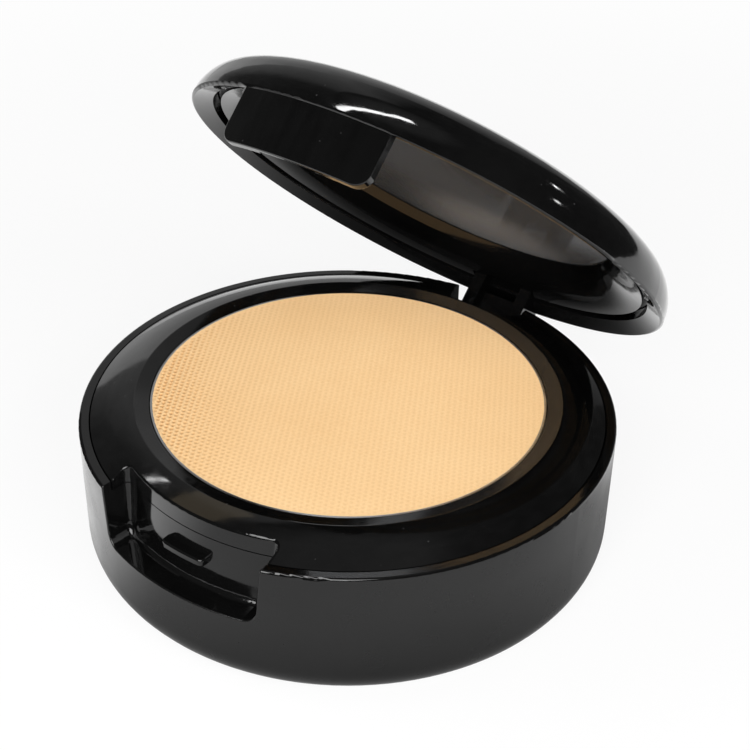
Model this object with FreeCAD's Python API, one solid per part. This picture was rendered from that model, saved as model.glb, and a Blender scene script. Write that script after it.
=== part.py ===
"""Round pressed-powder compact: a base with a finger notch, a deck with the pan, and a domed mirror lid.

Millimetres. The origin is the centre of the underside, +Z is up, the notch faces -Y and the hinge is at +Y.
The lid is drawn closed and then turned open about its hinge pin.
"""
import FreeCAD, Part
import math
import os

V = FreeCAD.Vector

# Base
BASE_RADIUS = 37.5
BASE_HEIGHT = 20.5
BASE_WALL = 1.4
BASE_FLOOR = 1.5
FOOT_ROUND = 4.8
INNER_ROUND = 3.2
RIM_ROUND = 0.4
POCKET_WALL = 1.2
EDGE_ROUND = 0.2

# Finger notch at the front of the base, with its width and reach at the rim
NOTCH_HALF_WIDTH = 13.3
NOTCH_DEPTH = 8.85
NOTCH_REACH = 4.35
NOTCH_DRAFT = 5.0
NOTCH_SPLAY = 5.0
NOTCH_CORNER = 2.0
NOTCH_TURN = 0.8

# Catch nub, a short shelf on the back wall of the notch
NUB_LENGTH = 7.2
NUB_HEIGHT = 1.1
NUB_PROUD = 1.85
NUB_BELOW_RIM = 3.95
NUB_END_ROUND = 0.9
NUB_ROUND = 0.3

# Deck and the well for the pan
DECK_GAP = 0.2
DECK_EDGE = 1.15
DECK_SLOPE_WIDTH = 6.1
DECK_CREST_RISE = 2.1
DECK_BULGE = 0.22
DECK_BEVEL_WIDTH = 2.05
DECK_BEVEL_DROP = 0.5
DECK_CREST_ROUND = 0.3
DECK_CUT_ROUND = 0.4
DECK_LAND = 2.55
DECK_ROOF = 1.6
SKIRT_WALL = 1.2
SKIRT_DEPTH = 2.7
WELL_WALL = 1.1
WELL_FLOOR = 1.2
SEAT_RIB_WIDTH = 1.2
SEAT_RIB_DEPTH = 2.3
SEAT_RIB_STEP = 30
FIT_GAP = 0.15

# Pan and powder
PAN_HEIGHT = 4.4
PAN_SHEET = 0.3
PAN_BELOW_BEVEL = 0.05
POWDER_CROWN = 0.2
ADHESIVE_SHEET = 0.2
PAN_ADHESIVE_RADIUS = 12.0

# Lid dome
RIM_GAP = 0.5
LID_INSET = 1.1
DOME_HEIGHT = 10.2
DOME_FOOT = 18.3
DOME_FLATNESS = 2.1
DOME_SHOULDER = 10.9
LID_WALL = 1.2
LID_RIM_ROUND = 0.45
LAND_WIDTH = 3.0
LAND_RISE = 1.2

# Bezel and mirror in the lid
GROOVE_WIDTH = 1.0
GROOVE_DEPTH = 1.2
BEZEL_WIDTH = 5.6
BEZEL_EDGE_RISE = 1.65
BEZEL_BEVEL_RISE = 4.75
BEZEL_BULGE = 0.4
LIP_WIDTH = 1.25
LIP_RISE = 6.1
LIP_EDGE = 0.2
MIRROR_OVERLAP = 0.75
MIRROR_GLASS = 0.9
MIRROR_ADHESIVE_INSET = 6.3
MIRROR_ADHESIVE_SHEET = 0.12

# Tongue at the front of the lid, with a channel inside it that passes over the nub
TONGUE_SIDE_GAP = 2.1
TONGUE_FLOOR_GAP = 2.0
TONGUE_THICKNESS = 1.5
TONGUE_INSET = 0.4
TONGUE_CORNER = 2.0
TONGUE_ROOT = 0.8
TONGUE_ROUND = 0.3
CHANNEL_FACE_GAP = 0.3
CHANNEL_SIDE_GAP = 0.6
CHANNEL_TOP_GAP = 0.8

# Hinge
HINGE_INSET = 3.55
HINGE_DROP = 8.7
LID_OPEN = 45.8
PIN_RADIUS = 1.0
PIN_RUNNING_GAP = 0.05
PIN_SEAT_GAP = 0.02
PIN_END_GAP = 0.1
ARM_WALL = 0.95
ARM_WIDTH = 2.0
ARM_SPACING = 8.4
ARM_REACH = 2.95
ARM_SHOULDER = 3.2
ARM_TOP = 3.3
ARM_SLACK = 0.4
WEB_SETBACK = 1.2
WEB_BELOW_RIM = 0.2
WEB_PIN_GAP = 1.4
BAY_SIDE_GAP = 1.1
BAY_FRONT_GAP = 0.7
BAY_BELOW_PIN = 3.8
BAY_CORNER = 1.0
BAY_TURN = 0.8
CHEEK = 2.0

# Sizes that follow from the ones above
BASE_BORE = BASE_RADIUS - BASE_WALL
NOTCH_BACK = BASE_RADIUS - NOTCH_REACH
NOTCH_FLOOR = BASE_HEIGHT - NOTCH_DEPTH
NUB_FACE = NOTCH_BACK + NUB_PROUD
NUB_TOP = BASE_HEIGHT - NUB_BELOW_RIM
DECK_RADIUS = BASE_BORE - DECK_GAP
DECK_CREST_RADIUS = DECK_RADIUS - DECK_SLOPE_WIDTH
DECK_UNDER = BASE_HEIGHT - DECK_EDGE
DECK_CREST = BASE_HEIGHT + DECK_CREST_RISE
DECK_BEVEL = DECK_CREST - DECK_BEVEL_DROP
DECK_SEAT = DECK_UNDER - SKIRT_DEPTH
SKIRT_OUT = DECK_RADIUS - FIT_GAP
SKIRT_IN = SKIRT_OUT - SKIRT_WALL
DECK_CORE_RADIUS = SKIRT_IN - DECK_LAND
POCKET_TOP = DECK_UNDER - FIT_GAP
WELL_RADIUS = DECK_CREST_RADIUS - DECK_BEVEL_WIDTH
PAN_RADIUS = WELL_RADIUS - FIT_GAP
PAN_TOP = DECK_BEVEL - PAN_BELOW_BEVEL
PAN_BOTTOM = PAN_TOP - PAN_HEIGHT
WELL_TOP = PAN_BOTTOM - ADHESIVE_SHEET
LID_Z = BASE_HEIGHT + RIM_GAP
LID_RADIUS = BASE_RADIUS - LID_INSET
LID_BORE = LID_RADIUS - LAND_WIDTH
BEZEL_RADIUS = LID_BORE - GROOVE_WIDTH
BEZEL_BEVEL_RADIUS = BEZEL_RADIUS - BEZEL_WIDTH
LIP_RADIUS = BEZEL_BEVEL_RADIUS - LIP_WIDTH
MIRROR_RADIUS = LIP_RADIUS + MIRROR_OVERLAP
MIRROR_FRONT = LIP_RISE + LIP_EDGE
MIRROR_BACK = MIRROR_FRONT + MIRROR_GLASS
MIRROR_POCKET = MIRROR_RADIUS + FIT_GAP
HINGE_Y = BASE_RADIUS - HINGE_INSET
HINGE_Z = BASE_HEIGHT - HINGE_DROP
ARM_EYE = PIN_RADIUS + PIN_RUNNING_GAP + ARM_WALL
ARM_FRONT = HINGE_Y - ARM_REACH
ARM_REAR = HINGE_Y + ARM_EYE
ARM_INNER = (ARM_SPACING - ARM_WIDTH) / 2
ARM_OUTER = (ARM_SPACING + ARM_WIDTH) / 2
BAY_HALF_WIDTH = ARM_OUTER + BAY_SIDE_GAP
BAY_FRONT = ARM_FRONT - BAY_FRONT_GAP
BAY_FLOOR = HINGE_Z - BAY_BELOW_PIN
PIN_HALF_LENGTH = BAY_HALF_WIDTH + CHEEK - PIN_END_GAP
CLEAR = BASE_RADIUS + BASE_HEIGHT
TOUCH = 1e-4


def on_circle(centre, radius, degrees):
    """Point of a circle in the radius and height plane."""
    turn = math.radians(degrees)
    return (centre[0] + radius * math.cos(turn), centre[1] + radius * math.sin(turn))


def bulged(start, end, bulge):
    """Middle point of a shallow arc that stands off the straight line from start to end, to its right."""
    run = math.dist(start, end)
    across = ((end[1] - start[1]) / run, (start[0] - end[0]) / run)
    return tuple((a + b) / 2 + bulge * c for a, b, c in zip(start, end, across))


def outline_face(start, steps, place):
    """Face inside a closed outline: a point is a straight run, a pair (via, end) an arc, a list a curve."""
    edges = []
    here = start
    for step in steps:
        if isinstance(step, list):
            curve = Part.BSplineCurve()
            curve.interpolate([place(p) for p in step])
            edges.append(curve.toShape())
            here = step[-1]
        elif isinstance(step[0], tuple):
            via, end = step
            edges.append(Part.Arc(place(here), place(via), place(end)).toShape())
            here = end
        else:
            edges.append(Part.makeLine(place(here), place(step)))
            here = step
    if here != start:
        edges.append(Part.makeLine(place(here), place(start)))
    return Part.Face(Part.Wire(edges))


def ring(start, *steps, lift=0.0):
    """Solid of revolution about Z from a closed outline of (radius, height) points."""
    face = outline_face(start, steps, lambda p: V(p[0], 0, p[1] + lift))
    return face.revolve(V(0, 0, 0), V(0, 0, 1), 360)


def across_x(x_low, x_high, start, *steps):
    """Solid between two X planes from a closed outline of (y, z) points."""
    face = outline_face(start, steps, lambda p: V(x_low, p[0], p[1]))
    return face.extrude(V(x_high - x_low, 0, 0))


def drum(radius, low, high):
    return Part.makeCylinder(radius, high - low, V(0, 0, low))


def band(inner, outer, low, high):
    return drum(outer, low, high).cut(drum(inner, low, high))


def middle(edge):
    return edge.valueAt((edge.FirstParameter + edge.LastParameter) / 2)


def reach(point):
    """Distance of a point from the Z axis."""
    return math.hypot(point.x, point.y)


def round_edges(shape, radius, wanted):
    """Round the edges whose middle point passes the test."""
    return shape.makeFillet(radius, [edge for edge in shape.Edges if wanted(middle(edge))])


def on_wall(point, *spaces):
    """Whether a point lies on the wall of one of the spaces."""
    return min(Part.Vertex(point).distToShape(space)[0] for space in spaces) < TOUCH


def rounded_slot(half_width, floor, top, corner, y_low, y_high):
    """Upright slot along Y with a flat floor and rounded lower corners."""
    left = (corner - half_width, floor + corner)
    right = (half_width - corner, floor + corner)
    steps = (
        (half_width, top),
        (half_width, floor + corner),
        (on_circle(right, corner, -45), (half_width - corner, floor)),
        (corner - half_width, floor),
        (on_circle(left, corner, -135), (-half_width, floor + corner)),
    )
    face = outline_face((-half_width, top), steps, lambda p: V(p[0], y_low, p[1]))
    return face.extrude(V(0, y_high - y_low, 0))


def notch_outline(grow, height):
    """Plan of the notch at a height: two splayed sides and a back that follows the base's round."""
    shift = grow - (BASE_HEIGHT - height) * math.tan(math.radians(NOTCH_DRAFT))
    back = NOTCH_BACK - shift
    splay = math.tan(math.radians(NOTCH_SPLAY))
    mouth = -math.sqrt(BASE_RADIUS ** 2 - NOTCH_HALF_WIDTH ** 2)
    axis_x = NOTCH_HALF_WIDTH + shift + splay * mouth
    spread = 1 + splay ** 2
    corner_y = (axis_x * splay - math.sqrt(spread * back ** 2 - axis_x ** 2)) / spread
    corner = V(axis_x - splay * corner_y, corner_y, height)
    front = V(axis_x + splay * CLEAR, -CLEAR, height)
    mirrored = [V(-p.x, p.y, p.z) for p in (front, corner)]
    return Part.Wire([
        Part.makeLine(mirrored[0], front),
        Part.makeLine(front, corner),
        Part.Arc(corner, V(0, -back, height), mirrored[1]).toShape(),
        Part.makeLine(mirrored[1], mirrored[0]),
    ])


def notch_space(grow, top):
    """Space of the finger notch, grown on every side: drafted walls, rounded foot and back corners."""
    floor = NOTCH_FLOOR - grow
    space = Part.makeLoft([notch_outline(grow, floor), notch_outline(grow, top)], True, True)
    space = round_edges(
        space, NOTCH_CORNER + grow, lambda p: abs(p.z - floor) < TOUCH and abs(p.x) > NOTCH_HALF_WIDTH / 2
    )
    back_wall = max(space.Faces, key=lambda face: face.CenterOfMass.y)
    turn = [edge for edge in back_wall.Edges if abs(middle(edge).z - top) > TOUCH]
    return space.makeFillet(NOTCH_TURN + grow, turn)


def bay_space(grow, top):
    """Space of the hinge bay at the rear, grown on every side by the given amount."""
    half_width = BAY_HALF_WIDTH + grow
    front = BAY_FRONT - grow
    bay = rounded_slot(half_width, BAY_FLOOR - grow, top, BAY_CORNER + grow, front, CLEAR)
    return round_edges(
        bay, BAY_TURN + grow, lambda p: abs(p.y - front) < TOUCH and abs(abs(p.x) - half_width) < TOUCH
    )


def hinge_bore(radius):
    """Round bar on the hinge axis, long enough to cut through every piece."""
    return Part.makeCylinder(radius, 2 * CLEAR, V(-CLEAR, HINGE_Y, HINGE_Z), V(1, 0, 0))


def nub():
    """Catch nub on the back wall of the notch: a short shelf with rounded ends and edges."""
    root = NOTCH_BACK - POCKET_WALL / 2
    low = NUB_TOP - NUB_HEIGHT
    block = Part.makeBox(NUB_LENGTH, CLEAR, NUB_HEIGHT, V(-NUB_LENGTH / 2, -CLEAR, low))
    shelf = band(root, NUB_FACE, low, NUB_TOP).common(block)
    shelf = round_edges(
        shelf, NUB_END_ROUND, lambda p: abs(reach(p) - NUB_FACE) < TOUCH and low < p.z < NUB_TOP
    )
    return round_edges(
        shelf, NUB_ROUND, lambda p: reach(p) > NOTCH_BACK and min(p.z - low, NUB_TOP - p.z) < TOUCH
    )


def base_outside():
    """Outside form of the base: straight wall, rounded foot and rim, flat underside."""
    foot = (BASE_RADIUS - FOOT_ROUND, FOOT_ROUND)
    rim = (BASE_RADIUS - RIM_ROUND, BASE_HEIGHT - RIM_ROUND)
    return ring(
        (0, 0),
        (foot[0], 0),
        (on_circle(foot, FOOT_ROUND, -45), (BASE_RADIUS, foot[1])),
        (BASE_RADIUS, rim[1]),
        (on_circle(rim, RIM_ROUND, 45), (rim[0], BASE_HEIGHT)),
        (0, BASE_HEIGHT),
    )


def base_hollow():
    inner = (BASE_BORE - INNER_ROUND, BASE_FLOOR + INNER_ROUND)
    return ring(
        (0, BASE_FLOOR),
        (inner[0], BASE_FLOOR),
        (on_circle(inner, INNER_ROUND, -45), (BASE_BORE, inner[1])),
        (BASE_BORE, CLEAR),
        (0, CLEAR),
    )


def seat_ribs():
    """Upright ribs inside the wall, clear of the notch and the hinge bay, that carry the deck's skirt."""
    side = NOTCH_HALF_WIDTH + POCKET_WALL + SEAT_RIB_WIDTH
    ribs = []
    for turn in range(0, 360, SEAT_RIB_STEP):
        if abs(BASE_BORE * math.cos(math.radians(turn))) < side:
            continue
        corner = V(BASE_BORE - SEAT_RIB_DEPTH, -SEAT_RIB_WIDTH / 2, 0)
        rib = Part.makeBox(SEAT_RIB_DEPTH + BASE_WALL / 2, SEAT_RIB_WIDTH, DECK_SEAT, corner)
        rib.rotate(V(0, 0, 0), V(0, 0, 1), turn)
        ribs.append(rib)
    return ribs


def pocket_walls():
    """Walls of the notch and of the hinge bay inside the base, up to the underside of the deck."""
    bay_rear = Part.makeBox(2 * CLEAR, CLEAR, CLEAR, V(-CLEAR, BAY_FRONT - POCKET_WALL, 0))
    bay = bay_space(CHEEK, CLEAR).common(bay_rear)
    inside = drum(BASE_RADIUS - BASE_WALL / 2, BASE_FLOOR / 2, POCKET_TOP)
    return notch_space(POCKET_WALL, CLEAR).fuse(bay).common(inside)


def make_base_shell():
    outside = base_outside()
    shell = outside.cut(base_hollow()).fuse(pocket_walls())
    shell = shell.fuse([rib.common(outside) for rib in seat_ribs()])
    pin_seat = hinge_bore(PIN_RADIUS + PIN_SEAT_GAP).common(drum(BASE_BORE, 0, BASE_HEIGHT))
    notch = notch_space(0, CLEAR)
    shell = shell.cut([notch, bay_space(0, CLEAR), pin_seat]).removeSplitter()
    shell = round_edges(shell, EDGE_ROUND, lambda p: reach(p) > BASE_BORE + TOUCH and on_wall(p, notch))
    return shell.fuse(nub()).removeSplitter()


def make_deck():
    rim = (DECK_RADIUS, BASE_HEIGHT)
    crest = (DECK_CREST_RADIUS, DECK_CREST)
    well_out = WELL_RADIUS + WELL_WALL
    deck = ring(
        (0, WELL_TOP),
        (WELL_RADIUS, WELL_TOP),
        (WELL_RADIUS, DECK_BEVEL),
        crest,
        (bulged(crest, rim, -DECK_BULGE), rim),
        (DECK_RADIUS, DECK_UNDER),
        (SKIRT_OUT, DECK_UNDER),
        (SKIRT_OUT, DECK_SEAT),
        (SKIRT_IN, DECK_SEAT),
        (SKIRT_IN, DECK_UNDER),
        (DECK_CORE_RADIUS, DECK_UNDER),
        (DECK_CORE_RADIUS, DECK_CREST - DECK_BULGE - DECK_ROOF - DECK_BEVEL_DROP),
        (well_out, DECK_BEVEL - DECK_ROOF),
        (well_out, WELL_TOP - WELL_FLOOR),
        (0, WELL_TOP - WELL_FLOOR),
    )
    deck = round_edges(deck, DECK_CREST_ROUND, lambda p: DECK_CREST - p.z < TOUCH)
    walls = notch_space(POCKET_WALL + FIT_GAP, DECK_UNDER).fuse(bay_space(CHEEK + FIT_GAP, DECK_UNDER))
    walls = walls.cut(drum(DECK_CORE_RADIUS - POCKET_WALL, 0, DECK_UNDER))
    notch = notch_space(0, CLEAR)
    bay = bay_space(0, CLEAR)
    deck = deck.cut([walls, notch, bay]).removeSplitter()
    return round_edges(deck, DECK_CUT_ROUND, lambda p: p.z > BASE_HEIGHT + TOUCH and on_wall(p, notch, bay))


def make_pan():
    inner = PAN_RADIUS - PAN_SHEET
    return ring(
        (0, PAN_BOTTOM),
        (PAN_RADIUS, PAN_BOTTOM),
        (PAN_RADIUS, PAN_TOP),
        (inner, PAN_TOP),
        (inner, PAN_BOTTOM + PAN_SHEET),
        (0, PAN_BOTTOM + PAN_SHEET),
    )


def make_powder_cake():
    """Pressed cake with a faintly domed top, which is part of a large sphere about the axis."""
    radius = PAN_RADIUS - PAN_SHEET
    low = PAN_BOTTOM + PAN_SHEET
    sphere = (radius ** 2 + POWDER_CROWN ** 2) / (2 * POWDER_CROWN)
    centre = (0, PAN_TOP + POWDER_CROWN - sphere)
    lean = math.degrees(math.asin(radius / sphere))
    crown = (on_circle(centre, sphere, 90 - lean / 2), (0, PAN_TOP + POWDER_CROWN))
    return ring((0, low), (radius, low), (radius, PAN_TOP), crown)


def dome_turn(radius, inset):
    """Place along the dome's curve, in radians from the foot, of a radius on the surface inset by a wall."""
    return math.acos((radius / (LID_RADIUS - inset)) ** (DOME_FLATNESS / 2))


def dome_point(turn, inset):
    """Point of the dome's rounded profile, whose foot lies below the rim plane."""
    rise = DOME_FOOT + DOME_HEIGHT - inset
    radius = (LID_RADIUS - inset) * math.cos(turn) ** (2 / DOME_FLATNESS)
    return (radius, rise * math.sin(turn) ** (2 / DOME_SHOULDER) - DOME_FOOT)


def dome_curve(start_turn, end_turn, inset, count=12):
    step = (end_turn - start_turn) / (count - 1)
    return [dome_point(start_turn + step * i, inset) for i in range(count)]


def dome_foot_turn(height):
    """Place along the outer dome's curve of a height above the rim plane."""
    return math.asin(((height + DOME_FOOT) / (DOME_HEIGHT + DOME_FOOT)) ** (DOME_SHOULDER / 2))


def lid_dome():
    outer = dome_curve(dome_foot_turn(LID_RIM_ROUND), math.pi / 2, 0)
    inner = dome_curve(dome_turn(MIRROR_POCKET, LID_WALL), dome_turn(LID_BORE, LID_WALL), LID_WALL)
    outer[-1] = (0, DOME_HEIGHT)
    roof = MIRROR_BACK + MIRROR_ADHESIVE_SHEET
    rim_centre = (outer[0][0] - LID_RIM_ROUND, LID_RIM_ROUND)
    land_start = (rim_centre[0], 0)
    return ring(
        land_start,
        (on_circle(rim_centre, LID_RIM_ROUND, -45), outer[0]),
        outer,
        (0, roof),
        (MIRROR_POCKET, roof),
        inner[0],
        inner,
        (LID_BORE, LAND_RISE),
        lift=LID_Z,
    )


def lid_tongue():
    """Curved tongue with rounded corners and edges, and the nub's channel open at its lower end."""
    outer = LID_RADIUS - TONGUE_INSET
    inner = outer - TONGUE_THICKNESS
    half_width = NOTCH_HALF_WIDTH - TONGUE_SIDE_GAP
    top = LID_Z + TONGUE_ROOT
    low = NOTCH_FLOOR + TONGUE_FLOOR_GAP
    front = rounded_slot(half_width, low, top, TONGUE_CORNER, -CLEAR, 0)
    tongue = band(inner, outer, low, top).common(front)
    tongue = round_edges(
        tongue, TONGUE_ROUND, lambda p: p.z < top - TOUCH and min(reach(p) - inner, outer - reach(p)) < TOUCH
    )
    channel_half = NUB_LENGTH / 2 + CHANNEL_SIDE_GAP
    sides = Part.makeBox(2 * channel_half, CLEAR, NUB_TOP + CHANNEL_TOP_GAP, V(-channel_half, -CLEAR, 0))
    return tongue.cut(drum(NUB_FACE + CHANNEL_FACE_GAP, 0, LID_Z).common(sides))


def hinge_arm(x_low, x_high):
    """Upright plate from the lid's rim down to an eye round the pin."""
    pin = (HINGE_Y, HINGE_Z)
    shoulder = (ARM_FRONT, HINGE_Z + ARM_SHOULDER)
    run = math.dist(pin, shoulder)
    bearing = math.degrees(math.atan2(shoulder[1] - pin[1], shoulder[0] - pin[0]))
    touch = bearing + math.degrees(math.acos(ARM_EYE / run))
    top = LID_Z + ARM_TOP
    return across_x(
        x_low,
        x_high,
        (ARM_FRONT, top),
        shoulder,
        on_circle(pin, ARM_EYE, touch),
        (on_circle(pin, ARM_EYE, -90), (ARM_REAR, HINGE_Z)),
        (ARM_REAR, LID_Z),
        (LID_BORE, top),
    )


def make_lid_shell():
    arms = [hinge_arm(ARM_INNER, ARM_OUTER), hinge_arm(-ARM_OUTER, -ARM_INNER)]
    web_low = HINGE_Z + PIN_RADIUS + WEB_PIN_GAP
    web = Part.makeBox(
        ARM_SPACING,
        ARM_REAR - ARM_FRONT - WEB_SETBACK,
        LID_Z - WEB_BELOW_RIM - web_low,
        V(-ARM_SPACING / 2, ARM_FRONT + WEB_SETBACK, web_low),
    )
    shell = lid_dome().fuse([lid_tongue(), web] + arms)
    return shell.cut(hinge_bore(PIN_RADIUS + PIN_RUNNING_GAP)).removeSplitter()


def make_lid_frame():
    groove_floor = BEZEL_EDGE_RISE + GROOVE_DEPTH
    edge = (BEZEL_RADIUS, BEZEL_EDGE_RISE)
    bevel = (BEZEL_BEVEL_RADIUS, BEZEL_BEVEL_RISE)
    plug = LID_BORE - FIT_GAP
    inset = LID_WALL + FIT_GAP
    back = dome_curve(dome_turn(plug, inset), dome_turn(MIRROR_POCKET, inset), inset)
    bezel = ring(
        edge,
        (BEZEL_RADIUS, groove_floor),
        (plug, groove_floor),
        back[0],
        back,
        (MIRROR_POCKET, MIRROR_FRONT),
        (LIP_RADIUS, MIRROR_FRONT),
        (LIP_RADIUS, LIP_RISE),
        bevel,
        (bulged(bevel, edge, BEZEL_BULGE), edge),
        lift=LID_Z,
    )
    slack = ARM_OUTER + ARM_SLACK
    arm_gap = Part.makeBox(2 * slack, CLEAR, 2 * CLEAR, V(-slack, ARM_FRONT - ARM_SLACK, -CLEAR))
    return bezel.cut(arm_gap)


def make_mirror():
    return drum(MIRROR_RADIUS, LID_Z + MIRROR_FRONT, LID_Z + MIRROR_BACK)


def make_mirror_adhesive():
    low = LID_Z + MIRROR_BACK
    return drum(MIRROR_RADIUS - MIRROR_ADHESIVE_INSET, low, low + MIRROR_ADHESIVE_SHEET)


def make_hinge_pin():
    return Part.makeCylinder(
        PIN_RADIUS, 2 * PIN_HALF_LENGTH, V(-PIN_HALF_LENGTH, HINGE_Y, HINGE_Z), V(1, 0, 0)
    )


def make_pan_adhesive():
    return drum(PAN_ADHESIVE_RADIUS, WELL_TOP, PAN_BOTTOM)


BASE_PIECES = {
    "base_shell": make_base_shell,
    "deck": make_deck,
    "pan": make_pan,
    "pan_adhesive": make_pan_adhesive,
    "powder_cake": make_powder_cake,
    "hinge_pin": make_hinge_pin,
}
LID_PIECES = {
    "lid_shell": make_lid_shell,
    "lid_frame": make_lid_frame,
    "mirror": make_mirror,
    "mirror_adhesive": make_mirror_adhesive,
}


def main():
    os.makedirs("parts", exist_ok=True)
    for name, make in BASE_PIECES.items():
        make().exportStep(f"parts/{name}.step")
    for name, make in LID_PIECES.items():
        piece = make()
        piece.rotate(V(0, HINGE_Y, HINGE_Z), V(1, 0, 0), -LID_OPEN)
        piece.exportStep(f"parts/{name}.step")


main()
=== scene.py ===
"""Looks of a round pressed-powder compact, lid open: black plastic, mirror, metal pan and embossed cake."""
import math

import bpy
from mathutils import Matrix, Vector
from mathutils.geometry import delaunay_2d_cdt


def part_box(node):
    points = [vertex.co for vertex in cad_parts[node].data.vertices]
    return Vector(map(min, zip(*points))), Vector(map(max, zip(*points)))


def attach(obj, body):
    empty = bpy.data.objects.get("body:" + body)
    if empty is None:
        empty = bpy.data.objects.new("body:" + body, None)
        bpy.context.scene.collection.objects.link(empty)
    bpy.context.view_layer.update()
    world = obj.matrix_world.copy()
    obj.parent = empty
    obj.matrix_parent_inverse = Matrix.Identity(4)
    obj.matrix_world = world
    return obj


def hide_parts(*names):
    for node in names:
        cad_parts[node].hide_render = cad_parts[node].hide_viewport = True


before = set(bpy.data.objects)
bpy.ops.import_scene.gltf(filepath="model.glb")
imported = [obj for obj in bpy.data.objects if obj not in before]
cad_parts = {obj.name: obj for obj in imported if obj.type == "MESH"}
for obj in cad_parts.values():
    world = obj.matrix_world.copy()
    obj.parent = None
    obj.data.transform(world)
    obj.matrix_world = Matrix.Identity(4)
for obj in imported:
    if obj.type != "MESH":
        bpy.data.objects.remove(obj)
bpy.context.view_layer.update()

# Lengths below are in millimetres and angles in degrees
MM = 0.001

CAMERA_TARGET = Vector((2.923, 2.144, 25.15))
CAMERA_DISTANCE = 209.7
CAMERA_AZIMUTH = 36.2
CAMERA_ELEVATION = 33.76
CAMERA_ROLL = 1.14
CAMERA_LENS = 72.43
CAMERA_SENSOR = 36.0
CAMERA_CLIP_START = 10

# Node sockets that share their name with others, and the range in which most of a noise lies
MIX_FIRST = 6
MIX_SECOND = 7
MIX_RESULT = 2
NOISE_LOW = 0.3
NOISE_HIGH = 0.7

# Black plastic, and the size and strength of the dust specks on it
PLASTIC_IOR = 1.5
DUST_EDGE = (0.035, 0.06)
DUST_SHARE = 0.12

# Outer wall of the base, where the moulding is satin and not polished
SATIN_RADIUS = 37.3
SATIN_TOP = 20.0
SATIN_FADE = 0.12

# Mirror haze as painted light and shade: a film made thickest round one place, so that the mirror shows
# lighter there and darker towards its ends; where it is thickest, the radii between which it thins out, and
# how much of the silvering shows through it there and outside
PAINTED_LIGHT_CENTRE = Vector((0.0, 35.5, 32.0))
PAINTED_LIGHT_SPAN = (4, 17)
PAINTED_LIGHT_METALLIC = (0.71, 0.91)

# Powder: share of broad clouds in its colour, beside grains, and its low shine
POWDER_CLOUDS = 0.35
POWDER_SPECULAR = 0.2

# Cloth print pressed into the powder, deepest towards one side, with painted shade in its pits that grows
# with their depth
WEAVE_PITCH = 0.785
WEAVE_TURN = 31.2
WEAVE_STEPS = 4
WEAVE_ROW_SHARE = 0.2
WEAVE_DEPTH = 0.05
WEAVE_EXTRA_DEPTH = 0.33
WEAVE_DEEP_SIDE = Vector((-0.8, -0.6))
PIT_SHADE_FULL_DEPTH = 0.22
WEAVE_MARGIN = 0.7
WEAVE_FALL = 8

# Mesh of the cake; the last two are settings of its triangulation
CAKE_SIDES = 240
CAKE_SHARP_ANGLE = 50
TRIANGLES_INSIDE = 1
SAME_POINT = 1e-6

# Floor: a lit part at the left and one at the rear right, which reflections alone see
FLOOR_DROP = 0.02
FLOOR_SIZE = 4000
FLOOR_LEFT_LEAN = 0.8
FLOOR_LEFT_EDGE = (-34, -8)
FLOOR_LEFT_BACK = (-10, 28)
FLOOR_LEFT_BACK_LEVEL = 0.5
FLOOR_LEFT_REACH = (90, 200)
FLOOR_REAR_X = 0.3
FLOOR_REAR_Y = 0.95
FLOOR_REAR_EDGE = (38, 52)
FLOOR_REAR_LEVEL = 0.7
FLOOR_RIGHT_EDGE = (40, 52)
FLOOR_RIGHT_LEVEL = 0.06

# Floor: its paint for light that bounces back to the object, darker under the object as painted shade and
# lighter outwards, its paint for the camera, and the share of plain white in what the camera sees
FLOOR_SHADE_SPAN = (38, 54)
FLOOR_SHADED_PAINT = (0.39, 0.66)
FLOOR_CAMERA_PAINT = 0.95
FLOOR_WHITE_SPAN = (80, 320)
FLOOR_WHITE = (0.85, 1.0)

# Tent: a stop is (azimuth, level), and the band ends where lift plus slant times azimuth passes the limit
TENT_RADIUS = 500
TENT_STEP = 6
TENT_BAND = ((-180, 0.10), (-165, 0.20), (-148, 0.36), (-130, 0.46), (-118, 0.80), (-90, 0.80))
TENT_BAND_TOP = 36
TENT_GLOW = ((-165, 0.0), (-140, 0.38), (-122, 0.30), (-112, 0.26), (-100, 0.05), (-60, 0.0))
TENT_GLOW_TOP = 66
TENT_SLANT = 0.91
TENT_SLANT_LIMIT = -86.2
TENT_SOFTNESS = 1.0
TENT_CLOTH = (0.04, 0.08)
TENT_CROWN = (66, 78)
TENT_CROWN_LEVEL = 0.16

WORLD_FILL = 0.12

# Lamps: direction as (azimuth, elevation), and radiance
LAMPS = {
    "lamp_left": ((-62, 28), 2.4),
    "lamp_front": ((25, 27), 8.6),
    "lamp_right": ((72, 26), 5.8),
}
LAMP_AIM = Vector((0.0, 0.0, 22.0))
LAMP_DISTANCE = 700
LAMP_SIZE = (450, 450)

# Places that the cards face
LID_SHOULDER = Vector((8.0, -6.0, 69.0))
LID_FLANK = Vector((28.0, 3.5, 60.5))
DECK_FRONT = Vector((-8.0, -31.0, 22.0))
RIM_FRONT = Vector((20.0, -31.0, 20.5))

# Where the cards stand: the strip at a place, the others in a direction from the place that they face
STRIP_PLACE = Vector((-7.0, -18.0, 150.0))
FLANK_DIRECTIONS = {"card_right": (121, 29), "card_rear": (152, 29)}
WINDOW_DIRECTION = (-104.5, 46.7)
WARM_DIRECTION = (-106, 58)
WARM_COLOUR = (1.0, 0.8, 0.52)
FRONT_DIRECTION = (15, 50)
CARD_DISTANCE = 300
FRONT_DISTANCE = 400


def linear(red, green, blue):
    """Scene colour of an 8-bit display colour."""
    shares = (c / 255 for c in (red, green, blue))
    return tuple(c / 12.92 if c <= 0.04045 else ((c + 0.055) / 1.055) ** 2.4 for c in shares) + (1.0,)


def grey(level):
    """Scene colour of one level in all channels."""
    return (level, level, level, 1.0)


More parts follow.
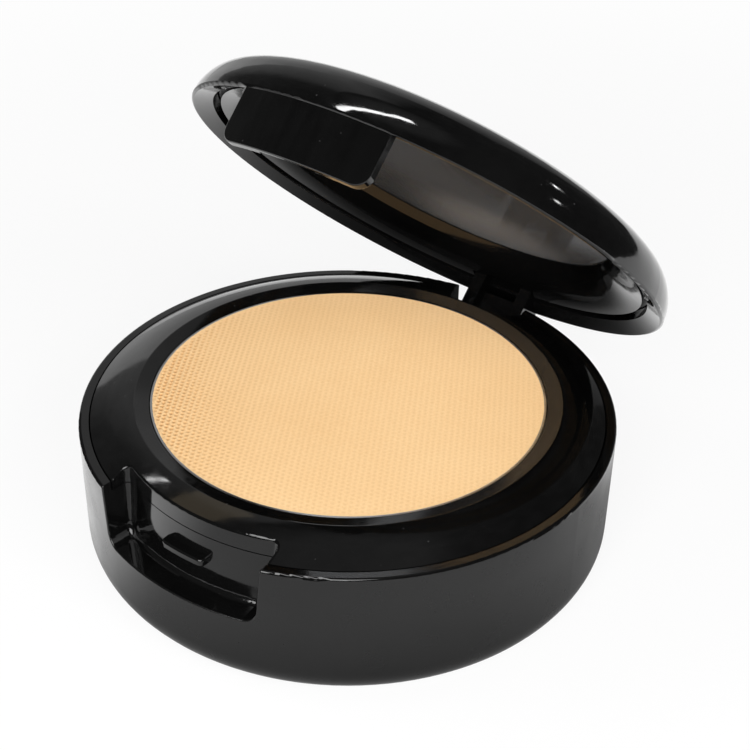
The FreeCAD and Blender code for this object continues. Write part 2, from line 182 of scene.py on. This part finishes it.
class Nodes:
    """Short way to write a node tree: add makes a node, put sets an input or links an output to it."""

    def __init__(self, tree):
        self.tree = tree
        self.tree.nodes.clear()

    def add(self, kind, settings=None, **inputs):
        node = self.tree.nodes.new(kind)
        for name, value in (settings or {}).items():
            setattr(node, name, value)
        for name, value in inputs.items():
            self.put(node.inputs[name.replace("_", " ")], value)
        return node

    def put(self, socket, value):
        if isinstance(value, bpy.types.NodeSocket):
            self.tree.links.new(value, socket)
        else:
            socket.default_value = value

    def math(self, operation, *values):
        node = self.add("ShaderNodeMath", {"operation": operation})
        for socket, value in zip(node.inputs, values):
            self.put(socket, value)
        return node.outputs[0]

    def smooth_step(self, value, low, high, from_value=0.0, to_value=1.0):
        node = self.add("ShaderNodeMapRange", {"interpolation_type": "SMOOTHSTEP"})
        for name, setting in (("Value", value), ("From Min", low), ("From Max", high),
                              ("To Min", from_value), ("To Max", to_value)):
            self.put(node.inputs[name], setting)
        return node.outputs["Result"]

    def fade(self, value, span, from_value, to_value):
        """Smooth step over a span in millimetres."""
        low, high = span
        return self.smooth_step(value, low * MM, high * MM, from_value, to_value)

    def noise(self, place, scale, detail=3.0, roughness=0.5):
        node = self.add("ShaderNodeTexNoise", Scale=scale, Detail=detail, Roughness=roughness)
        self.put(node.inputs["Vector"], place)
        return node.outputs["Fac"]

    def vary(self, noise, least, most):
        """Value that follows a noise."""
        return self.smooth_step(noise, NOISE_LOW, NOISE_HIGH, least, most)

    def ramp(self, value, *stops):
        """Colour ramp; a stop is (position, colour)."""
        node = self.add("ShaderNodeValToRGB", Fac=value)
        elements = node.color_ramp.elements
        while len(elements) < len(stops):
            elements.new(0.5)
        for element, (position, colour) in zip(elements, stops):
            element.position = position
            element.color = colour
        return node.outputs["Color"]

    def tint(self, noise, dark, light):
        """Colour that follows a noise."""
        return self.ramp(noise, (NOISE_LOW, dark), (NOISE_HIGH, light))

    def mix(self, share, first, second):
        """Colour between two colours."""
        node = self.add("ShaderNodeMix", {"data_type": "RGBA"})
        self.put(node.inputs["Factor"], share)
        self.put(node.inputs[MIX_FIRST], first)
        self.put(node.inputs[MIX_SECOND], second)
        return node.outputs[MIX_RESULT]

    def bump(self, height, strength, distance):
        """Normal of a relief whose distance is in millimetres."""
        node = self.add("ShaderNodeBump", Height=height, Strength=strength, Distance=distance * MM)
        return node.outputs["Normal"]


def new_material(name):
    """Material with a Principled shader, its nodes and the place on the object."""
    material = bpy.data.materials.new(name)
    material.use_nodes = True
    nodes = Nodes(material.node_tree)
    shader = nodes.add("ShaderNodeBsdfPrincipled")
    output = nodes.add("ShaderNodeOutputMaterial")
    nodes.put(output.inputs["Surface"], shader.outputs["BSDF"])
    place = nodes.add("ShaderNodeTexCoord").outputs["Object"]
    return material, nodes, shader, place


def radius_of(nodes, place):
    """Distance from the upright axis, and height, of a place on the object."""
    parts = nodes.add("ShaderNodeSeparateXYZ", Vector=place).outputs
    squares = [nodes.math("MULTIPLY", parts[axis], parts[axis]) for axis in ("X", "Y")]
    return nodes.math("SQRT", nodes.math("ADD", *squares)), parts["Z"]


def black_gloss():
    """Polished black plastic: faint flow marks in the colour, a soft ripple and a few dust specks."""
    material, nodes, shader, place = new_material("black_gloss")
    flow = nodes.noise(place, scale=60.0)
    haze = nodes.noise(place, scale=900.0, detail=6.0)
    dust = nodes.add("ShaderNodeTexVoronoi", Vector=place, Scale=420.0).outputs["Distance"]
    speck = nodes.smooth_step(dust, *DUST_EDGE, 1.0, 0.0)
    colour = nodes.ramp(flow, (0.35, grey(0.0012)), (0.65, grey(0.0028)))
    dusty = nodes.mix(nodes.math("MULTIPLY", speck, DUST_SHARE), colour, linear(120, 120, 120))
    nodes.put(shader.inputs["Base Color"], dusty)
    nodes.put(shader.inputs["Roughness"], nodes.vary(haze, least=0.05, most=0.10))
    ripple = nodes.noise(place, scale=110.0, detail=1.0)
    nodes.put(shader.inputs["Normal"], nodes.bump(ripple, strength=0.05, distance=0.2))
    shader.inputs["IOR"].default_value = PLASTIC_IOR
    return material


def black_satin():
    """Base moulding: satin grain on the outer wall, polished in the notch, on the rim and in the bay."""
    material, nodes, shader, place = new_material("black_satin")
    radius, height = radius_of(nodes, place)
    outside = nodes.fade(radius, (SATIN_RADIUS - SATIN_FADE, SATIN_RADIUS), 0.0, 1.0)
    below = nodes.fade(height, (SATIN_TOP - SATIN_FADE, SATIN_TOP), 1.0, 0.0)
    satin = nodes.math("MULTIPLY", outside, below)
    flow = nodes.noise(place, scale=70.0)
    grain = nodes.noise(place, scale=5200.0, detail=2.0)
    haze = nodes.noise(place, scale=260.0, detail=5.0)
    nodes.put(shader.inputs["Base Color"], nodes.tint(flow, dark=grey(0.0014), light=grey(0.0032)))
    polished = nodes.vary(haze, least=0.06, most=0.11)
    matt = nodes.vary(haze, least=0.22, most=0.28)
    rougher = nodes.math("MULTIPLY", satin, nodes.math("SUBTRACT", matt, polished))
    nodes.put(shader.inputs["Roughness"], nodes.math("ADD", polished, rougher))
    relief = nodes.math("MULTIPLY", grain, satin)
    nodes.put(shader.inputs["Normal"], nodes.bump(relief, strength=0.12, distance=0.05))
    shader.inputs["IOR"].default_value = PLASTIC_IOR
    return material


def pan_metal():
    """Thin pressed aluminium with fine lathe rings."""
    material, nodes, shader, place = new_material("pan_metal")
    radius, height = radius_of(nodes, place)
    rings = nodes.add("ShaderNodeCombineXYZ", X=radius, Y=height).outputs["Vector"]
    lines = nodes.noise(rings, scale=9000.0, detail=2.0)
    cloud = nodes.noise(place, scale=150.0)
    nodes.put(shader.inputs["Base Color"], nodes.tint(cloud, dark=grey(0.42), light=grey(0.58)))
    nodes.put(shader.inputs["Roughness"], nodes.vary(lines, least=0.22, most=0.40))
    nodes.put(shader.inputs["Normal"], nodes.bump(lines, strength=0.2, distance=0.02))
    shader.inputs["Metallic"].default_value = 1.0
    return material


def pin_steel():
    """Drawn steel wire with fine marks along it."""
    material, nodes, shader, place = new_material("pin_steel")
    stretch = nodes.add("ShaderNodeMapping", Vector=place, Scale=(0.05, 1.0, 1.0)).outputs["Vector"]
    lines = nodes.noise(stretch, scale=7000.0)
    nodes.put(shader.inputs["Base Color"], nodes.tint(lines, dark=grey(0.42), light=grey(0.62)))
    nodes.put(shader.inputs["Roughness"], nodes.vary(lines, least=0.18, most=0.34))
    nodes.put(shader.inputs["Normal"], nodes.bump(lines, strength=0.15, distance=0.02))
    shader.inputs["Metallic"].default_value = 1.0
    return material


def mirror_glass():
    """Silvered glass under a thin hazy film, dark when seen at a glancing angle; the film is thicker round
    one place, painted light that shows the mirror lighter there and darker towards its ends.
    """
    material, nodes, shader, place = new_material("mirror_glass")
    haze = nodes.noise(place, scale=130.0, detail=4.0)
    silver = nodes.tint(haze, dark=linear(212, 214, 217), light=linear(216, 218, 221))
    nodes.put(shader.inputs["Base Color"], silver)
    rough = nodes.smooth_step(haze, low=0.2, high=0.8, from_value=0.118, to_value=0.124)
    nodes.put(shader.inputs["Roughness"], rough)
    # Painted light and shade: less silvering round one place makes the mirror lighter there and darker
    # towards its ends
    away = nodes.add("ShaderNodeVectorMath", {"operation": "DISTANCE"})
    nodes.put(away.inputs[0], place)
    nodes.put(away.inputs[1], PAINTED_LIGHT_CENTRE * MM)
    nodes.put(shader.inputs["Metallic"], nodes.fade(away.outputs["Value"], PAINTED_LIGHT_SPAN, *PAINTED_LIGHT_METALLIC))
    shader.inputs["Specular Tint"].default_value = grey(0.0)
    return material


def powder():
    """Pressed face powder: fine mixed grains of colour, dry and matt, with painted shade down in the
    print's pits.
    """
    material, nodes, shader, place = new_material("powder")
    cloud = nodes.noise(place, scale=45.0, detail=4.0)
    grains = nodes.noise(place, scale=3800.0, detail=4.0, roughness=0.7)
    broad = nodes.math("MULTIPLY", cloud, POWDER_CLOUDS)
    fine = nodes.math("MULTIPLY", grains, 1 - POWDER_CLOUDS)
    mixed = nodes.math("ADD", broad, fine)
    colour = nodes.ramp(mixed, (0.32, linear(240, 197, 142)), (0.5, linear(247, 207, 154)),
                        (0.68, linear(252, 216, 165)))
    # Painted shade: the powder is coloured darker down in the print's pits, the more the deeper they are
    pressed = nodes.add("ShaderNodeAttribute", {"attribute_name": "painted_pit_shade"}).outputs["Fac"]
    nodes.put(shader.inputs["Base Color"], nodes.mix(pressed, colour, linear(200, 150, 96)))
    nodes.put(shader.inputs["Roughness"], nodes.vary(grains, least=0.82, most=0.96))
    nodes.put(shader.inputs["Normal"], nodes.bump(grains, strength=0.25, distance=0.03))
    shader.inputs["Specular IOR Level"].default_value = POWDER_SPECULAR
    return material


def adhesive():
    """Clear-drying glue pad, milky and uneven."""
    material, nodes, shader, place = new_material("adhesive")
    cloud = nodes.noise(place, scale=240.0, detail=4.0)
    nodes.put(shader.inputs["Base Color"], nodes.tint(cloud, dark=grey(0.45), light=linear(226, 222, 208)))
    nodes.put(shader.inputs["Roughness"], nodes.vary(cloud, least=0.35, most=0.6))
    nodes.put(shader.inputs["Normal"], nodes.bump(cloud, strength=0.3, distance=0.05))
    return material


FINISHES = {
    "base_shell": black_satin,
    "deck": black_gloss,
    "lid_shell": black_gloss,
    "lid_frame": black_gloss,
    "pan": pan_metal,
    "hinge_pin": pin_steel,
    "mirror": mirror_glass,
    "pan_adhesive": adhesive,
    "mirror_adhesive": adhesive,
}


def dress_nodes():
    """Give each CAD node that stays its material; nodes of one finish share it."""
    made = {}
    for name, finish in FINISHES.items():
        if finish not in made:
            made[finish] = finish()
        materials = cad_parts[name].data.materials
        materials.clear()
        materials.append(made[finish])


def weave_depth(x, y):
    """Share of the print's depth at a place: staggered small pits in rows."""
    turn = math.radians(WEAVE_TURN)
    across = (x * math.cos(turn) + y * math.sin(turn)) / WEAVE_PITCH
    along = (y * math.cos(turn) - x * math.sin(turn)) / WEAVE_PITCH
    row = 0.5 + 0.5 * math.cos(2 * math.pi * across)
    dot = 0.5 + 0.5 * math.cos(2 * math.pi * along + math.pi * round(across))
    return row * (WEAVE_ROW_SHARE + (1 - WEAVE_ROW_SHARE) * dot)


def build_cake():
    """Powder cake with the cloth print in its faintly domed top, standing for the plain solid."""
    low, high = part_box("powder_cake")
    radius = high.x / MM
    crown = high.z / MM
    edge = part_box("pan")[1].z / MM
    step = WEAVE_PITCH / WEAVE_STEPS
    turn = Matrix.Rotation(math.radians(WEAVE_TURN), 2)
    count = math.ceil(radius / step)
    places = range(-count, count + 1)
    ring = [Vector((radius * math.cos(a), radius * math.sin(a)))
            for a in (2 * math.pi * i / CAKE_SIDES for i in range(CAKE_SIDES))]
    grid = [turn @ Vector((i * step, j * step)) for i in places for j in places]
    points = ring + [p for p in grid if p.length < radius - step]
    rim = [(i, (i + 1) % CAKE_SIDES) for i in range(CAKE_SIDES)]
    flat, _, faces, *_ = delaunay_2d_cdt(points, rim, [], TRIANGLES_INSIDE, SAME_POINT)

    def pressed(p):
        lean = (1 + p.dot(WEAVE_DEEP_SIDE) / radius) / 2
        depth = WEAVE_DEPTH + WEAVE_EXTRA_DEPTH * lean ** WEAVE_FALL
        fade = max(0.0, min(1.0, (radius - p.length) / WEAVE_MARGIN))
        return depth * fade * weave_depth(p.x, p.y)

    def top(p):
        return crown - (crown - edge) * min(p.length / radius, 1.0) ** 2 - pressed(p)

    vertices = [(p.x * MM, p.y * MM, top(p) * MM) for p in flat]
    foot = len(vertices)
    vertices += [(p.x * MM, p.y * MM, low.z) for p in ring]
    walls = [(a, foot + a, foot + b, b) for a, b in rim]
    under = [tuple(foot + i for i in reversed(range(CAKE_SIDES)))]
    mesh = bpy.data.meshes.new("powder_cake_pressed")
    mesh.from_pydata(vertices, [], list(faces) + walls + under)
    # Share of painted shade in each pit, from its depth; none on the wall and underside
    pit_shades = [min(1.0, pressed(p) / PIT_SHADE_FULL_DEPTH) for p in flat] + [0.0] * CAKE_SIDES
    mesh.attributes.new("painted_pit_shade", "FLOAT", "POINT").data.foreach_set("value", pit_shades)
    mesh.shade_smooth()
    mesh.set_sharp_from_angle(angle=math.radians(CAKE_SHARP_ANGLE))
    cake = bpy.data.objects.new("powder_cake_pressed", mesh)
    bpy.context.scene.collection.objects.link(cake)
    cake.data.materials.append(powder())
    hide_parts("powder_cake")
    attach(cake, "base")


def floor_material():
    """Floor that is white to the camera, keeps a soft shadow, is painted darker round the object as shade,
    and is lit at two sides in reflections.
    """
    material = bpy.data.materials.new("studio_floor")
    material.use_nodes = True
    nodes = Nodes(material.node_tree)
    path = nodes.add("ShaderNodeLightPath").outputs
    place = nodes.add("ShaderNodeTexCoord").outputs["Object"]
    parts = nodes.add("ShaderNodeSeparateXYZ", Vector=place).outputs
    radius, _ = radius_of(nodes, place)

    behind = nodes.math("MAXIMUM", parts["Y"], 0.0)
    sideways = nodes.math("MULTIPLY_ADD", behind, FLOOR_LEFT_LEAN, parts["X"])
    left = nodes.fade(sideways, FLOOR_LEFT_EDGE, 1.0, 0.0)
    left = nodes.math("MULTIPLY", left, nodes.fade(parts["Y"], FLOOR_LEFT_BACK, 1.0, FLOOR_LEFT_BACK_LEVEL))
    left = nodes.math("MULTIPLY", left, nodes.fade(radius, FLOOR_LEFT_REACH, 1.0, 0.0))
    rearward = nodes.math("MULTIPLY", parts["Y"], FLOOR_REAR_Y)
    rearward = nodes.math("MULTIPLY_ADD", parts["X"], FLOOR_REAR_X, rearward)
    right = nodes.math("ADD", nodes.fade(rearward, FLOOR_REAR_EDGE, 0.0, FLOOR_REAR_LEVEL),
                       nodes.fade(parts["X"], FLOOR_RIGHT_EDGE, 0.0, FLOOR_RIGHT_LEVEL))
    bounced = nodes.math("MAXIMUM", path["Is Glossy Ray"], path["Is Transmission Ray"])
    reflector = nodes.add("ShaderNodeEmission", Color=grey(1.0))
    nodes.put(reflector.inputs["Strength"], nodes.math("MULTIPLY", nodes.math("ADD", left, right), bounced))

    seen_paint = nodes.math("MULTIPLY", path["Is Camera Ray"], FLOOR_CAMERA_PAINT)
    paint = nodes.add("ShaderNodeBsdfDiffuse")
    # Painted shade: darker paint round the object, as a contact shadow seen in reflections and in light
    # bounced back
    shaded = nodes.fade(radius, FLOOR_SHADE_SPAN, *FLOOR_SHADED_PAINT)
    nodes.put(paint.inputs["Color"], nodes.math("MAXIMUM", shaded, seen_paint))
    glow = nodes.add("ShaderNodeEmission", Color=grey(1.0), Strength=1.0).outputs["Emission"]
    white = nodes.fade(radius, FLOOR_WHITE_SPAN, *FLOOR_WHITE)
    mix = nodes.add("ShaderNodeMixShader")
    nodes.put(mix.inputs["Fac"], nodes.math("MULTIPLY", path["Is Camera Ray"], white))
    nodes.put(mix.inputs[1], paint.outputs["BSDF"])
    nodes.put(mix.inputs[2], glow)
    total = nodes.add("ShaderNodeAddShader")
    nodes.put(total.inputs[0], mix.outputs["Shader"])
    nodes.put(total.inputs[1], reflector.outputs["Emission"])
    output = nodes.add("ShaderNodeOutputMaterial")
    nodes.put(output.inputs["Surface"], total.outputs["Shader"])
    return material


def add_stage(name, vertices, faces, material):
    """Mesh that belongs to the studio and not to the object."""
    mesh = bpy.data.meshes.new(name)
    mesh.from_pydata(vertices, [], faces)
    mesh.materials.append(material)
    stage = bpy.data.objects.new(name, mesh)
    bpy.context.scene.collection.objects.link(stage)
    return stage


def build_floor():
    """Flat square floor just under the object."""
    half = FLOOR_SIZE * MM / 2
    drop = -FLOOR_DROP * MM
    corners = [(-half, -half, drop), (half, -half, drop), (half, half, drop), (-half, half, drop)]
    add_stage("studio_floor", corners, [(0, 1, 2, 3)], floor_material())


def outward(azimuth, elevation):
    """Unit direction; azimuth is measured from the front, to the right, in degrees."""
    turn = math.radians(azimuth)
    lift = math.radians(elevation)
    return Vector((math.sin(turn) * math.cos(lift), -math.cos(turn) * math.cos(lift), math.sin(lift)))


def tent_material():
    """Dark cloth with a lit band low at the left rear, a dim glow above it and a faint one at the top."""
    material = bpy.data.materials.new("studio_tent")
    material.use_nodes = True
    nodes = Nodes(material.node_tree)
    place = nodes.add("ShaderNodeTexCoord").outputs["Object"]
    parts = nodes.add("ShaderNodeSeparateXYZ", Vector=place).outputs
    turn = nodes.math("ARCTAN2", parts["X"], nodes.math("MULTIPLY", parts["Y"], -1.0))
    share = nodes.math("MULTIPLY_ADD", turn, 0.5 / math.pi, 0.5)
    lift = nodes.math("ARCSINE", nodes.math("MULTIPLY", parts["Z"], 1 / (TENT_RADIUS * MM)))

    def under(angle, limit):
        low, high = (math.radians(limit + d) for d in (-TENT_SOFTNESS, TENT_SOFTNESS))
        return nodes.smooth_step(angle, low, high, 1.0, 0.0)

    def around(stops):
        return nodes.ramp(share, *((0.5 + azimuth / 360, grey(level)) for azimuth, level in stops))

    band = around(TENT_BAND)
    glow = around(TENT_GLOW)
    slanted = nodes.math("MULTIPLY_ADD", turn, TENT_SLANT, lift)
    low_band = nodes.math("MULTIPLY", under(lift, TENT_BAND_TOP), under(slanted, TENT_SLANT_LIMIT))
    upper = nodes.math("MAXIMUM", nodes.math("SUBTRACT", under(lift, TENT_GLOW_TOP), low_band), 0.0)
    lit = nodes.math("ADD", nodes.math("MULTIPLY", band, low_band), nodes.math("MULTIPLY", glow, upper))
    cloth = nodes.noise(place, scale=40.0)
    lit = nodes.math("ADD", lit, nodes.vary(cloth, *TENT_CLOTH))
    crown_low, crown_high = (math.radians(angle) for angle in TENT_CROWN)
    lit = nodes.math("ADD", lit, nodes.smooth_step(lift, crown_low, crown_high, 0.0, TENT_CROWN_LEVEL))
    emission = nodes.add("ShaderNodeEmission", Color=grey(1.0), Strength=lit)
    output = nodes.add("ShaderNodeOutputMaterial")
    nodes.put(output.inputs["Surface"], emission.outputs["Emission"])
    return material


def build_tent():
    """Dark tent round the object that only reflections see."""
    turns = range(-180, 180, TENT_STEP)
    count = len(turns)
    lifts = range(0, 90, TENT_STEP)
    vertices = [outward(turn, lift) * TENT_RADIUS * MM for lift in lifts for turn in turns]
    faces = [(low + i, low + (i + 1) % count, low + count + (i + 1) % count, low + count + i)
             for low in range(0, (len(lifts) - 1) * count, count) for i in range(count)]
    last = len(vertices) - count
    faces += [(last + i, last + (i + 1) % count, len(vertices)) for i in range(count)]
    vertices.append((0, 0, TENT_RADIUS * MM))
    tent = add_stage("studio_tent", vertices, faces, tent_material())
    tent.visible_camera = False
    tent.visible_diffuse = False
    tent.visible_transmission = False
    tent.visible_shadow = False


def build_world():
    """White surroundings to the camera and to rays that pass the tent, and a low even fill."""
    world = bpy.data.worlds.new("studio")
    bpy.context.scene.world = world
    world.use_nodes = True
    nodes = Nodes(world.node_tree)
    path = nodes.add("ShaderNodeLightPath").outputs
    seen = nodes.math("MAXIMUM", path["Is Camera Ray"], path["Is Glossy Ray"])
    seen = nodes.math("MAXIMUM", seen, path["Is Transmission Ray"])
    strength = nodes.math("MAXIMUM", seen, WORLD_FILL)
    sky = nodes.add("ShaderNodeBackground", Color=grey(1.0), Strength=strength)
    output = nodes.add("ShaderNodeOutputWorld")
    nodes.put(output.inputs["Surface"], sky.outputs["Background"])


def add_softbox(name, place, aim, size, radiance, roll=0.0):
    """Area lamp at a place, facing an aim, with its size across and along the direction of rise."""
    lamp = bpy.data.lights.new(name, "AREA")
    lamp.shape = "RECTANGLE"
    lamp.size, lamp.size_y = (side * MM for side in size)
    lamp.energy = radiance * math.pi * lamp.size * lamp.size_y
    facing = (place - aim).to_track_quat("Z", "Y").to_matrix()
    box = bpy.data.objects.new(name, lamp)
    box.location = place * MM
    box.rotation_euler = (facing @ Matrix.Rotation(math.radians(roll), 3, "Z")).to_euler()
    bpy.context.scene.collection.objects.link(box)
    return box


def add_card(name, shown_on, place, aim, **settings):
    """Softbox that shows only as a highlight, and on the named pieces alone."""
    card = add_softbox(name, place, aim, **settings)
    shown = bpy.data.collections.new(name)
    for piece in shown_on:
        shown.objects.link(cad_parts[piece])
    card.light_linking.receiver_collection = shown
    card.visible_diffuse = False
    return card


def build_lights():
    """Three large lamps that light the surfaces, and cards that show only as highlights."""
    for name, (direction, radiance) in LAMPS.items():
        place = LAMP_AIM + outward(*direction) * LAMP_DISTANCE
        add_softbox(name, place, LAMP_AIM, LAMP_SIZE, radiance).visible_glossy = False
    lid = ["lid_shell"]
    deck = ["deck"]
    add_card("card_strip", lid, STRIP_PLACE, LID_SHOULDER, size=(7, 65), radiance=25.0, roll=8)
    for name, direction in FLANK_DIRECTIONS.items():
        place = LID_FLANK + outward(*direction) * CARD_DISTANCE
        add_card(name, lid, place, LID_FLANK, size=(17, 10), radiance=25.0)
    place = DECK_FRONT + outward(*WINDOW_DIRECTION) * CARD_DISTANCE
    add_card("card_window", deck, place, DECK_FRONT, size=(36, 4), radiance=18.0, roll=-26)
    place = DECK_FRONT + outward(*WARM_DIRECTION) * CARD_DISTANCE
    warm = add_card("card_warm", deck, place, DECK_FRONT, size=(90, 55), radiance=0.6)
    warm.data.color = WARM_COLOUR
    place = RIM_FRONT + outward(*FRONT_DIRECTION) * FRONT_DISTANCE
    add_card("card_front", ["base_shell", "deck"], place, RIM_FRONT, size=(290, 270), radiance=7.0)


def build_camera():
    """Camera at the photograph's viewing angle, rolled slightly about its axis."""
    turn = math.radians(CAMERA_AZIMUTH)
    roll = math.radians(CAMERA_ROLL)
    back = outward(CAMERA_AZIMUTH, CAMERA_ELEVATION)
    right = Vector((math.cos(turn), math.sin(turn), 0.0))
    up = back.cross(right)
    rolled_right = right * math.cos(roll) + up * math.sin(roll)
    rolled_up = up * math.cos(roll) - right * math.sin(roll)
    lens = bpy.data.cameras.new("camera")
    lens.lens = CAMERA_LENS
    lens.sensor_width = CAMERA_SENSOR
    lens.clip_start = CAMERA_CLIP_START * MM
    camera = bpy.data.objects.new("camera", lens)
    pose = Matrix((rolled_right, rolled_up, back)).transposed().to_4x4()
    pose.translation = (CAMERA_TARGET + back * CAMERA_DISTANCE) * MM
    camera.matrix_world = pose
    bpy.context.scene.collection.objects.link(camera)
    bpy.context.scene.camera = camera


dress_nodes()
build_cake()
build_floor()
build_tent()
build_world()
build_lights()
build_camera()
bpy.context.scene.view_settings.view_transform = "Standard"
